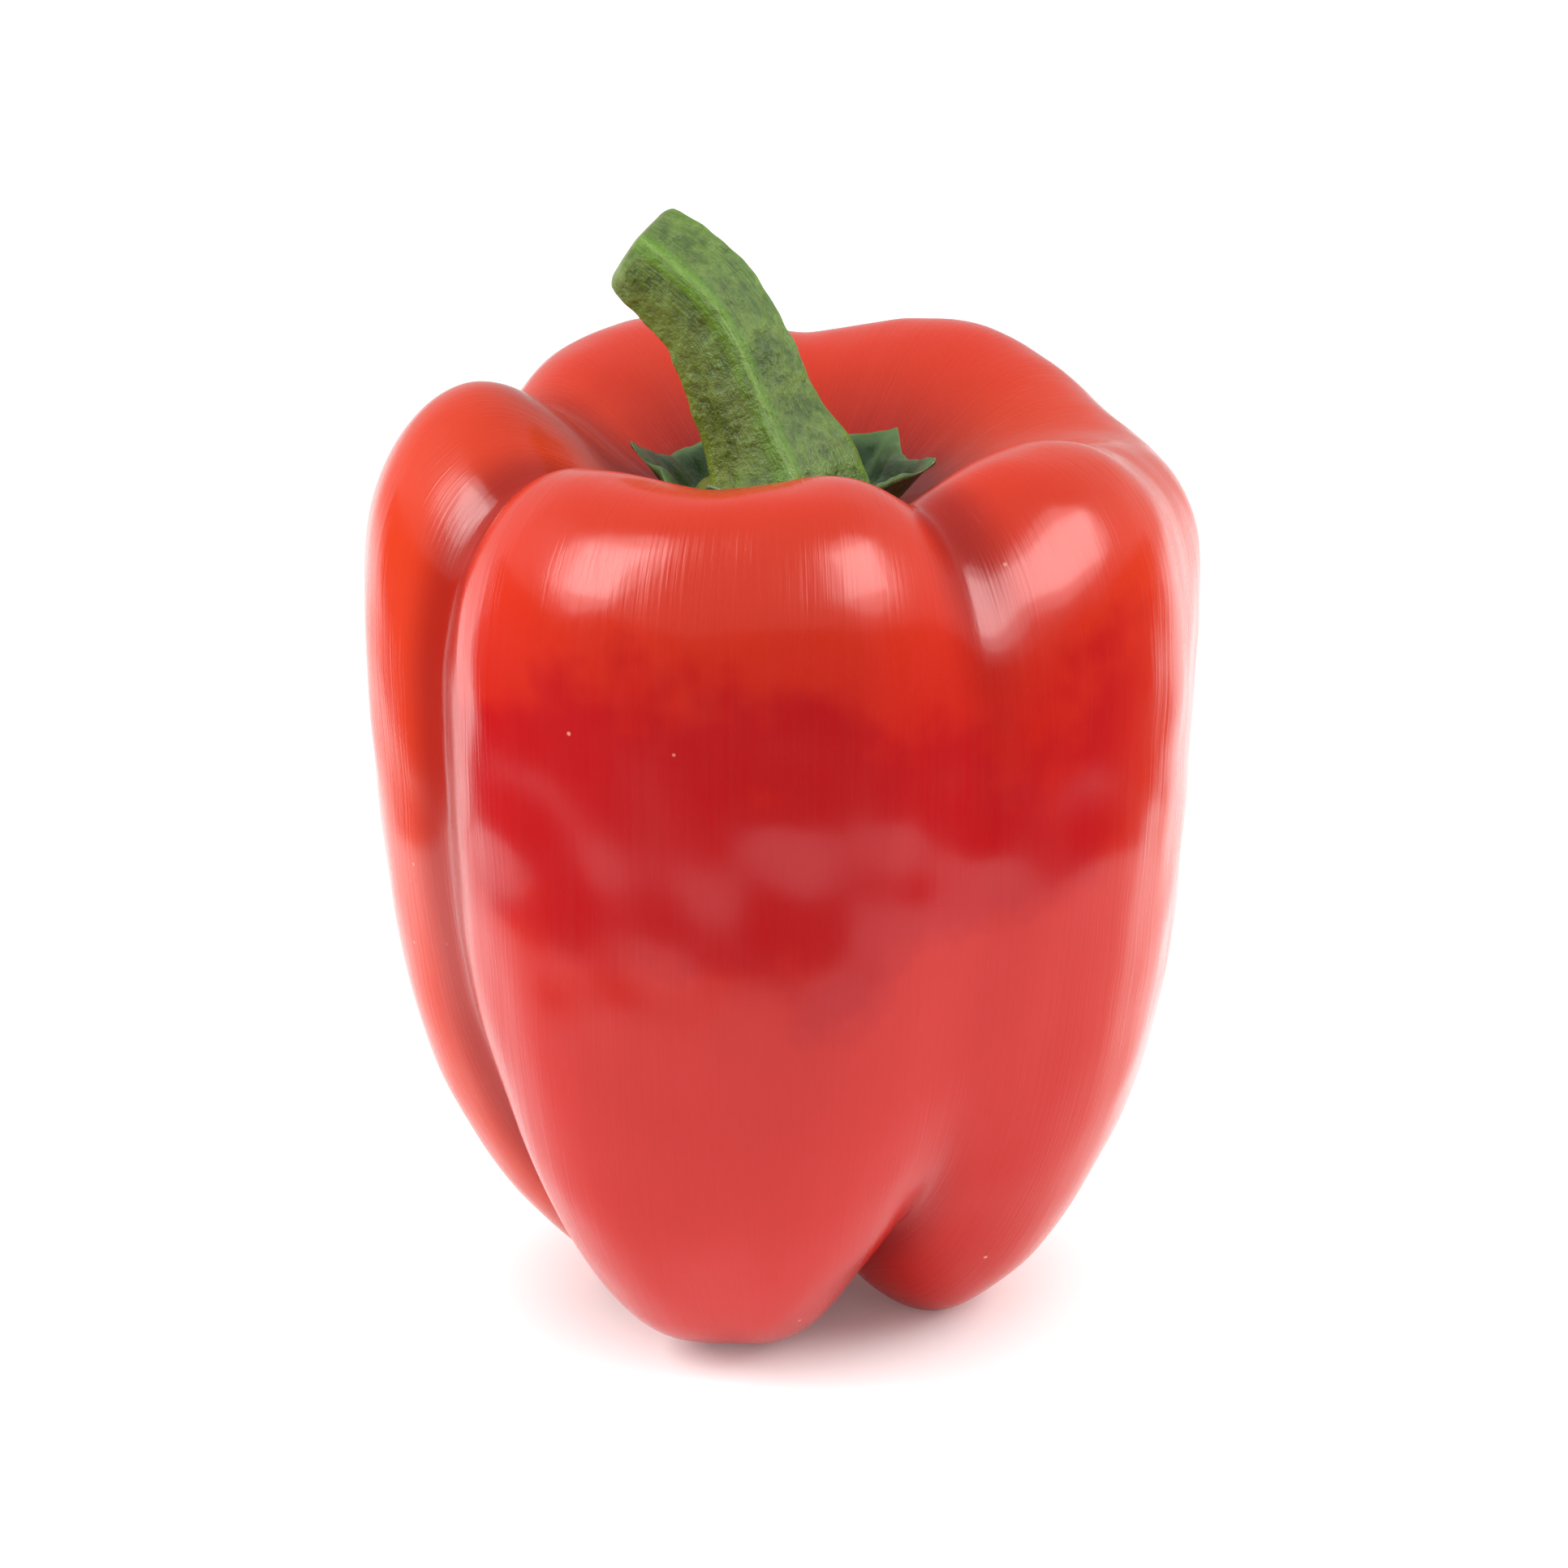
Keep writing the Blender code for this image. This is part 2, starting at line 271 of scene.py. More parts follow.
class Wire:
    """A socket that gives a number: arithmetic on it adds Math nodes."""

    def __init__(self, recipe: "Recipe", socket: Socket) -> None:
        """Wraps an output socket of a recipe's node."""
        self.recipe = recipe
        self.socket = socket

    def _math(self, operation: str, *values: "Feed") -> "Wire":
        """One Math node over these values."""
        inputs = dict(enumerate(values))
        node = self.recipe.node("ShaderNodeMath", {"operation": operation}, inputs)
        return Wire(self.recipe, node.outputs[0])

    def __add__(self, other: "Feed") -> "Wire":
        """The sum."""
        return self._math("ADD", self, other)

    def __radd__(self, other: "Feed") -> "Wire":
        """The sum, from the right."""
        return self._math("ADD", other, self)

    def __sub__(self, other: "Feed") -> "Wire":
        """The difference."""
        return self._math("SUBTRACT", self, other)

    def __rsub__(self, other: "Feed") -> "Wire":
        """The difference, from the right."""
        return self._math("SUBTRACT", other, self)

    def __mul__(self, other: "Feed") -> "Wire":
        """The product."""
        return self._math("MULTIPLY", self, other)

    def __rmul__(self, other: "Feed") -> "Wire":
        """The product, from the right."""
        return self._math("MULTIPLY", other, self)

    def over(self, low: float, high: float) -> "Wire":
        """The smooth step from 0 at low to 1 at high; low may be the larger."""
        settings = {"interpolation_type": "SMOOTHSTEP"}
        inputs = {"Value": self, "From Min": low, "From Max": high}
        node = self.recipe.node("ShaderNodeMapRange", settings, inputs)
        return Wire(self.recipe, node.outputs["Result"])

    def window(self, low: float, high: float, fade: float) -> "Wire":
        """1 between low and high, fading to 0 over fade on either side."""
        return self.over(low - fade, low) * self.over(high + fade, high)


Feed = Union[Wire, Socket, float, Sequence[float]]


class Grain(NamedTuple):
    """A noise: its features to one unit, its finer layers and their strength, and how it lies."""

    scale: float
    detail: float = 3.0
    rough: float = 0.5
    space: Space = Space.OBJECT
    stretch: Triple = (1.0, 1.0, 1.0)


class Recipe:
    """A material under construction round one Principled shader."""

    def __init__(self, name: str) -> None:
        """Starts an empty material with its shader and output."""
        self.material = bpy.data.materials.new(name)
        self.material.use_nodes = True
        self.tree = self.material.node_tree
        self.shader = self.tree.nodes["Principled BSDF"]

    def feed(self, socket: Socket, value: Feed) -> None:
        """Links a wire or a socket to this socket, or sets its value.

        Args:
            socket: the input to feed.
            value: a wire, an output socket, a number, or a colour or vector.
        """
        if isinstance(value, Wire):
            self.tree.links.new(value.socket, socket)
        elif isinstance(value, Socket):
            self.tree.links.new(value, socket)
        elif isinstance(value, (int, float)):
            socket.default_value = value
        elif socket.type == "RGBA":
            socket.default_value = (*value[:3], 1.0)
        else:
            socket.default_value = value

    def node(self, kind: str, settings: dict[str, Any], inputs: dict[Any, Feed]) -> bpy.types.Node:
        """Adds a node of any kind.

        Args:
            kind: the node's type.
            settings: its properties, which are set first.
            inputs: the values or links of its inputs, by name or by number.

        Returns:
            The node.
        """
        made = self.tree.nodes.new(kind)
        for setting, value in settings.items():
            setattr(made, setting, value)
        for key, value in inputs.items():
            self.feed(made.inputs[key], value)
        return made

    def place(self, space: Space, scale: Triple = (1.0, 1.0, 1.0)) -> Socket:
        """Coordinates for a pattern, scaled.

        Args:
            space: object metres, or the growth attribute (cos a, sin a, way from pole to pole).
            scale: the factor along each coordinate.

        Returns:
            The vector socket.
        """
        if space is Space.OBJECT:
            source = self.node("ShaderNodeTexCoord", {}, {}).outputs["Object"]
        else:
            source = self.node("ShaderNodeAttribute", {"attribute_name": space.value}, {})
            source = source.outputs["Vector"]
        mapping = self.node("ShaderNodeMapping", {}, {"Vector": source, "Scale": scale})
        return mapping.outputs["Vector"]

    def fact(self, name: str) -> Wire:
        """A point attribute of the piece, as a number."""
        node = self.node("ShaderNodeAttribute", {"attribute_name": name}, {})
        return Wire(self, node.outputs["Fac"])

    def way(self, space: Space, axis: str) -> Wire:
        """One coordinate, such as Z in object metres for the height above the floor."""
        node = self.node("ShaderNodeSeparateXYZ", {}, {"Vector": self.place(space)})
        return Wire(self, node.outputs[axis])

    def noise(self, grain: Grain) -> Wire:
        """Cloudy noise of about 0 to 1.

        Args:
            grain: how coarse and how rough it is, and how it lies.

        Returns:
            The noise.
        """
        inputs = {"Scale": grain.scale, "Detail": grain.detail, "Roughness": grain.rough}
        inputs["Vector"] = self.place(grain.space, grain.stretch)
        node = self.node("ShaderNodeTexNoise", {}, inputs)
        return Wire(self, node.outputs[0])

    def cells(self, scale: float) -> Wire:
        """The distance to the nearest of a scatter of points, in cells."""
        inputs = {"Vector": self.place(Space.OBJECT), "Scale": scale}
        node = self.node("ShaderNodeTexVoronoi", {}, inputs)
        return Wire(self, node.outputs["Distance"])

    def mix(self, share: Feed, under: Feed, over: Feed) -> Socket:
        """One colour laid over another by a share from 0 to 1.

        Args:
            share: how much of the upper colour shows.
            under: the lower colour.
            over: the upper colour.

        Returns:
            The mixed colour.
        """
        settings = {"data_type": "RGBA", "blend_type": "MIX", "clamp_factor": True}
        node = self.node("ShaderNodeMix", settings, {0: share, 6: under, 7: over})
        return node.outputs[2]

    def layers(self, colour: Feed, *above: tuple[Feed, Feed]) -> Feed:
        """Lays colours over one another.

        Args:
            colour: the lowest colour.
            above: the share and the colour of each layer, from the lowest up.

        Returns:
            The mixed colour.
        """
        for share, over in above:
            colour = self.mix(share, colour, over)
        return colour

    def bump(self, height: Wire, distance: float) -> Socket:
        """A normal bent by a height pattern, whose full swing is distance in metres."""
        inputs = {"Height": height, "Distance": distance, "Strength": 1.0}
        return self.node("ShaderNodeBump", {}, inputs).outputs["Normal"]

    def finish(self, **sockets: Feed) -> bpy.types.Material:
        """Feeds the shader's sockets, named with underscores for spaces.

        Args:
            sockets: the value or link for each socket.

        Returns:
            The material.
        """
        for name, value in sockets.items():
            self.feed(self.shader.inputs[name.replace("_", " ")], value)
        return self.material


@dataclass(frozen=True)
class SkinFinish:
    """Waxy red skin: clouded reds with a partly painted dark reflection across the front, painted top
    and side light on the shoulders and flanks, painted shade in the furrows and the hollow, a few pale
    specks.

    Attributes:
        red, deep_red_and_dark_reflection, painted_top_light: most of it, the clouded band across the
        front (partly deep-red pigment, partly a painted dark reflection), and painted top light on the
        shoulders.
        painted_groove_shade, painted_side_light, painted_hollow_shade, speck: painted shade on the
        grooves' floors, painted side light on the sides, painted shade inside the crown, the specks.
        cloud, cloud_swing: the noise that breaks up the band's edges, and how far, in metres.
        fine, streak, swell: the pores, what is drawn out from crown to foot, and slow waves.
        dark_reflection_band: the heights between which the band, partly pigment and partly a painted
            dark reflection, lies and its fade, in metres.
        dark_reflection_reach: how far round from the front it fades, as the sine of the angle.
        top_light_reach: the heights over which the painted top light comes in on the shoulders, in
            metres.
        side_light_reach: how far round the painted side light on the flanks comes in, as the square of
            the cosine.
        shares: how strongly the painted groove shade, the painted side light and the speck colours show.
        hollow_shade_share: how strongly the painted shade in the hollow shows, along the streaks and
            everywhere.
        speck_cells: the scatter's cells to a metre, and a speck's outer and inner radius in cells.
        patches, patch_reach: the noise that groups the specks, and the levels that let them in.
        roughness: the middle roughness, and how much the pores and the streaks change it.
        relief: the streaks', swell's and pores' share of the relief, and its height in metres.
        coat: the wax coat's weight and roughness.
        flesh, scatter: how much light the flesh scatters, and how far for each colour.
        index: the index of refraction.
    """

    red: Colour = (0.500, 0.009, 0.004)
    # partly deep-red pigment, partly a painted dark reflection across the front
    deep_red_and_dark_reflection: Colour = (0.430, 0.003, 0.005)
    # painted top light: a lighter, warmer red for the shoulders
    painted_top_light: Colour = (0.590, 0.032, 0.010)
    # painted shade: a darker red for the grooves' floors
    painted_groove_shade: Colour = (0.260, 0.005, 0.004)
    # painted side light: a lighter orange-red for the flanks
    painted_side_light: Colour = (0.610, 0.042, 0.010)
    # painted shade: a darker red for inside the crown's hollow
    painted_hollow_shade: Colour = (0.240, 0.004, 0.004)
    speck: Colour = (0.85, 0.42, 0.30)
    cloud: Grain = Grain(38.0, 4.0, 0.56)
    cloud_swing: float = 0.060
    fine: Grain = Grain(240.0, 4.0, 0.6)
    streak: Grain = Grain(4.0, 4.0, 0.55, Space.GROWTH, (26.0, 26.0, 2.2))
    swell: Grain = Grain(30.0, 3.0, 0.6, Space.GROWTH)
    dark_reflection_band: Triple = (0.052, 0.063, 0.008)
    dark_reflection_reach: Pair = (-0.30, -0.70)
    top_light_reach: Pair = (0.064, 0.088)
    side_light_reach: Pair = (0.50, 0.90)
    shares: Triple = (0.7, 0.75, 0.6)
    hollow_shade_share: Pair = (0.8, 0.3)
    speck_cells: Triple = (170.0, 0.045, 0.02)
    patches: Grain = Grain(31.0)
    patch_reach: Pair = (0.56, 0.62)
    roughness: Triple = (0.21, 0.10, 0.12)
    relief: tuple[float, ...] = (0.6, 0.25, 0.15, 0.00009)
    coat: Pair = (0.25, 0.12)
    flesh: float = 0.10
    scatter: Triple = (0.004, 0.0008, 0.0004)
    index: float = 1.33

    def colour(self, r: Recipe, streak: Wire) -> Feed:
        """Lays the reds over one another, among them painted top and side light, painted shade and a
        partly painted dark reflection.

        Args:
            r: the recipe.
            streak: the noise drawn out from crown to foot.

        Returns:
            The colour.
        """
        height, across = r.way(Space.OBJECT, "Z"), r.way(Space.GROWTH, "X")
        around_back = r.way(Space.GROWTH, "Y")
        lifted = height + (r.noise(self.cloud) - 0.5) * self.cloud_swing
        cells, outer, inner = self.speck_cells
        speck = r.cells(cells).over(outer, inner) * r.noise(self.patches).over(*self.patch_reach)
        by_groove_shade, by_side_light, by_speck = self.shares
        by_streaks, everywhere = self.hollow_shade_share
        return r.layers(
            self.red,
            # painted top light: lighter, warmer red over the shoulders, by height
            (height.over(*self.top_light_reach), self.painted_top_light),
            # a clouded band of deep red on the side facing the front: partly pigment, partly a painted
            # dark reflection
            (lifted.window(*self.dark_reflection_band) * around_back.over(*self.dark_reflection_reach), self.deep_red_and_dark_reflection),
            # painted side light: lighter orange-red on the flanks
            ((across * across).over(*self.side_light_reach) * by_side_light, self.painted_side_light),
            # painted shade: darker red on the grooves' floors
            (r.fact("painted_groove_shade") * by_groove_shade, self.painted_groove_shade),
            # painted shade: darker red inside the crown's hollow, along streaks and everywhere
            (r.fact("painted_hollow_shade") * (streak * by_streaks + everywhere), self.painted_hollow_shade),
            (speck * by_speck, self.speck),
        )

    def make(self) -> bpy.types.Material:
        """Builds the material from the piece's growth attribute and its masks of painted groove shade
        and painted hollow shade.
        """
        r = Recipe("red_skin_finish")
        fine, streak, swell = r.noise(self.fine), r.noise(self.streak), r.noise(self.swell)
        middle, by_pores, by_streaks = self.roughness
        streak_share, swell_share, pore_share, height = self.relief
        relief = streak * streak_share + swell * swell_share + fine * pore_share
        return r.finish(
            Base_Color=self.colour(r, streak),
            Roughness=middle + (fine - 0.5) * by_pores + (streak - 0.5) * by_streaks,
            Normal=r.bump(relief, height),
            Coat_Weight=self.coat[0],
            Coat_Roughness=self.coat[1],
            Subsurface_Weight=self.flesh,
            Subsurface_Radius=self.scatter,
            Subsurface_Scale=1.0,
            IOR=self.index,
        )


@dataclass(frozen=True)
class SepalFinish:
    """Dark leafy green with paler veins and tips.

    Attributes:
        green, dark, pale: its two greens, and the colour of the veins and the edges.
        cloud, cloud_reach: the noise that mixes the greens, and the levels over which it does.
        grain: the noise of the leaf's surface.
        shares: how strongly the veins and the edges show.
        roughness: the middle roughness, and how much the cloud changes it.
        relief: the cloud's and the grain's share of the relief, and its height in metres.
        index: the index of refraction.
    """

    green: Colour = (0.050, 0.120, 0.030)
    dark: Colour = (0.014, 0.045, 0.012)
    pale: Colour = (0.140, 0.240, 0.070)
    cloud: Grain = Grain(160.0, 4.0, 0.6)
    cloud_reach: Pair = (0.35, 0.65)
    grain: Grain = Grain(900.0, 3.0, 0.6)
    shares: Pair = (0.45, 0.5)
    roughness: Pair = (0.36, 0.25)
    relief: Triple = (0.5, 0.5, 0.00035)
    index: float = 1.45

    def make(self) -> bpy.types.Material:
        """Builds the material from the piece's vein and edge attributes."""
        r = Recipe("sepal_finish")
        cloud = r.noise(self.cloud)
        by_cloud, by_grain, height = self.relief
        return r.finish(
            Base_Color=r.layers(
                self.dark,
                (cloud.over(*self.cloud_reach), self.green),
                (r.fact("vein") * self.shares[0], self.pale),
                (r.fact("edge") * self.shares[1], self.pale),
            ),
            Roughness=self.roughness[0] + (cloud - 0.5) * self.roughness[1],
            Normal=r.bump(cloud * by_cloud + r.noise(self.grain) * by_grain, height),
            IOR=self.index,
        )


@dataclass(frozen=True)
class StalkFinish:
    """Ridged green stalk: green ridges with a painted highlight, mottled faces, a rusty tint and a
    fibrous cut.

    Attributes:
        face, shade: the lighter and the darker green of the mottle.
        ridge, line, rust, cut: the ridge facing the front (partly its own green, partly a painted
            highlight), the painted highlight line along it, one side's tint, the end.
        fibre, wrinkle: the noises drawn out along the stalk and across it.
        blotch, grain: the noises of the mottle and of the surface.
        mottle: the blotch's and the wrinkle's share of the mottle.
        mottle_reach: the levels over which the mottle turns light.
        ridge_reach: the levels of the ridge over which its colour comes in.
        fibre_reach: the levels of the fibre over which the ridges' colour comes in.
        fleck, highlight_line_reach: the levels of the fibre over which flecks and the painted highlight
            line come in.
        shares: how strongly the flecks and the painted highlight line show.
        rust_share: how strongly the rust shows, in the blotches and everywhere.
        roughness: the middle roughness, and how much the blotches change it.
        relief: the blotch's, fibre's, wrinkle's and grain's share of the relief, and its height.
        index: the index of refraction.
    """

    face: Colour = (0.140, 0.235, 0.034)
    shade: Colour = (0.046, 0.095, 0.010)
    # the ridges' own green, laid only on the ridge that faces the front: partly real, partly a painted
    # highlight
    ridge: Colour = (0.105, 0.250, 0.006)
    # painted highlight: a pale line along the ridge that faces the front
    line: Colour = (0.210, 0.350, 0.060)
    rust: Colour = (0.300, 0.270, 0.025)
    cut: Colour = (0.230, 0.270, 0.100)
    fibre: Grain = Grain(6.0, 5.0, 0.6, Space.GROWTH, (2.6, 2.6, 1.6))
    wrinkle: Grain = Grain(7.0, 4.0, 0.6, Space.GROWTH, (1.0, 1.0, 5.0))
    blotch: Grain = Grain(320.0, 6.0, 0.7)
    grain: Grain = Grain(1300.0, 3.0, 0.6)
    mottle: Pair = (0.6, 0.4)
    mottle_reach: Pair = (0.38, 0.62)
    ridge_reach: Pair = (0.05, 0.75)
    fibre_reach: Pair = (0.25, 0.55)
    fleck: Pair = (0.56, 0.66)
    highlight_line_reach: Pair = (0.30, 0.60)
    shares: Pair = (0.6, 0.8)
    rust_share: Pair = (0.6, 0.3)
    roughness: Pair = (0.34, 0.3)
    relief: tuple[float, ...] = (0.35, 0.25, 0.3, 0.1, 0.0011)
    index: float = 1.45

    def make(self) -> bpy.types.Material:
        """Builds the material from the piece's growth, ridge, line, rust and cut attributes."""
        r = Recipe("stalk_finish")
        fibre, wrinkle, blotch = r.noise(self.fibre), r.noise(self.wrinkle), r.noise(self.blotch)
        mottle = blotch * self.mottle[0] + wrinkle * self.mottle[1]
        ridge = r.fact("ridge").over(*self.ridge_reach) * fibre.over(*self.fibre_reach)
        colour = r.layers(
            self.shade,
            (mottle.over(*self.mottle_reach), self.face),
            # the ridge colour only on the ridge that faces the front: partly its own green, partly a
            # painted highlight
            (ridge, self.ridge),
            (fibre.over(*self.fleck) * self.shares[0], self.ridge),
            # painted highlight: the pale line along the ridge that faces the front
            (r.fact("line") * fibre.over(*self.highlight_line_reach) * self.shares[1], self.line),
            (r.fact("rust") * (blotch * self.rust_share[0] + self.rust_share[1]), self.rust),
            (r.fact("cut"), self.cut),
        )
        by_blotch, by_fibre, by_wrinkle, by_grain, height = self.relief
        relief = blotch * by_blotch + fibre * by_fibre + wrinkle * by_wrinkle
        relief = relief + r.noise(self.grain) * by_grain
        return r.finish(
            Base_Color=colour,
            Roughness=self.roughness[0] + (blotch - 0.5) * self.roughness[1],
            Normal=r.bump(relief, height),
            IOR=self.index,
        )


@dataclass(frozen=True)
class FloorFinish:
    """Plain pale floor, with a painted shadow under the object.

    Attributes:
        white: its colour.
        glow: the light that it gives off away from the object.
        shade: the dimmer light that it gives off under the object, a painted shadow.
        painted_shadow_reach: the distances from the middle over which the painted shadow becomes the
            glow, in metres.
        roughness: how matte it is.
    """

    white: Colour = (0.80, 0.80, 0.80)
    glow: Colour = (0.46, 0.46, 0.46)
    # painted shadow: the dimmer glow under the object
    shade: Colour = (0.10, 0.08, 0.08)
    painted_shadow_reach: Pair = (0.014, 0.036)
    roughness: float = 0.6

    def make(self) -> bpy.types.Material:
        """Builds the material, whose glow fades out under the object into a painted shadow."""
        r = Recipe("pale_floor")
        away = r.node("ShaderNodeVectorMath", {"operation": "LENGTH"}, {0: r.place(Space.OBJECT)})
        # painted shadow: the glow dims towards the middle, under the object
        share = Wire(r, away.outputs["Value"]).over(*self.painted_shadow_reach)
        return r.finish(
            Base_Color=self.white,
            Roughness=self.roughness,
            Specular_IOR_Level=0.2,
            Emission_Color=r.mix(share, self.shade, self.glow),
            Emission_Strength=1.0,
        )


@dataclass(frozen=True)
class FlagFinish:
    """Dull dark cloth, for the flag that only reflections see."""

    grey: Colour = (0.02, 0.02, 0.02)

    def make(self) -> bpy.types.Material:
        """Builds the material."""
        return Recipe("dark_flag").finish(Base_Color=self.grey, Roughness=1.0, Specular_IOR_Level=0.0)


# The fruit


# Where along the fruit the rim's values start to fade, and over what length.
RIM = (0.28, 0.25)


class Station(NamedTuple):
    """A height on the fruit: where the swell of a lobe and the floor of a groove pass."""

    name: str
    crest_r: float
    crest_z: float
    groove_r: float
    groove_z: float


class Lobe(NamedTuple):
    """A swelling of the wall: its angles at rim and foot, and how it moves off the common crest."""

    name: str
    rim_angle: float
    foot_angle: float
    rim_out: float = 0.0
    rim_up: float = 0.0
    shoulder_out: float = 0.0
    waist_out: float = 0.0
    belly_out: float = 0.0
    foot_out: float = 0.0
    foot_up: float = 0.0


class Groove(NamedTuple):
    """The furrow after a lobe, with its depth and softness at the rim, the waist and the foot.

    A depth below 0 is a swell in place of a furrow.
    """

    name: str
    rim_angle: float
    foot_angle: float
    depth: Triple
    softness: Triple
    rim: Pair = RIM


STATIONS = (
    Station("eye", 0.0, 79.0, 0.0, 79.0),
    Station("floor", 6.0, 79.0, 6.0, 78.8),
    Station("cup", 12.0, 79.5, 11.0, 78.6),
    Station("wall", 17.5, 84.0, 15.5, 80.0),
    Station("inner", 22.5, 89.0, 19.5, 83.4),
    Station("rim", 28.5, 91.7, 24.5, 86.0),
    Station("outer", 35.0, 89.7, 30.0, 84.5),
    Station("shoulder", 39.8, 82.5, 34.5, 79.0),
    Station("upper", 41.4, 73.0, 36.6, 71.0),
    Station("high", 41.0, 62.0, 36.8, 61.0),
    Station("waist", 40.4, 51.0, 36.5, 51.0),
    Station("low", 39.6, 40.0, 35.4, 40.0),
    Station("belly", 37.4, 28.5, 32.4, 29.5),
    Station("heel", 33.5, 17.5, 27.5, 20.0),
    Station("ankle", 28.0, 8.0, 21.5, 13.0),
    Station("foot", 20.5, -0.1, 15.5, 9.5),
    Station("sole", 13.5, -0.9, 10.5, 8.2),
    Station("arch", 8.5, 3.5, 7.0, 8.2),
    Station("pit", 4.0, 7.5, 3.5, 8.6),
    Station("end", 0.0, 9.0, 0.0, 9.0),
)

LOBES = (
    Lobe("right", -31.0, -32.0, rim_up=-1.4, foot_out=1.2, foot_up=0.2),
    Lobe("right_rear", 5.0, 2.0, 0.3, -5.0, 0.3, -0.4, -0.2),
    Lobe("rear", 57.0, 66.0, 1.4, 1.9),
    Lobe("rear_left", 117.0, 112.0, 1.8, 1.2, 0.5),
    Lobe("left", 180.0, 178.0, 0.0, 1.4, 0.0, 0.1, -0.4, -3.6),
    Lobe("front_left", 236.0, 250.0, rim_up=-1.8, belly_out=4.0, foot_out=3.0, foot_up=0.6),
    Lobe("front", 277.0, 261.0, rim_up=-1.0, belly_out=2.4, foot_out=2.6, foot_up=0.6),
)

GROOVES = (
    Groove("right_fold", -11.0, -17.0, (0.2, 0.05, 0.0), (0.4, 0.4, 0.4)),
    Groove("right_seam", 26.0, 24.0, (0.05, 0.4, 0.9), (0.25, 0.25, 0.15)),
    Groove("rear_fold", 86.0, 88.0, (0.3, 0.4, 0.5), (0.3, 0.3, 0.2)),
    Groove("rear_seam", 152.0, 146.0, (0.75, 0.9, 1.0), (0.12, 0.12, 0.12)),
    Groove("left_seam", 208.0, 208.0, (1.0, 1.0, 1.0), (0.1, 0.1, 0.1)),
    Groove("front_fold", 256.0, 255.5, (0.35, 0.03, 0.0), (0.4, 0.4, 0.4), (0.23, 0.1)),
    Groove("front_seam", 300.0, 298.0, (1.0, 0.45, 1.0), (0.15, 0.3, 0.12)),
)


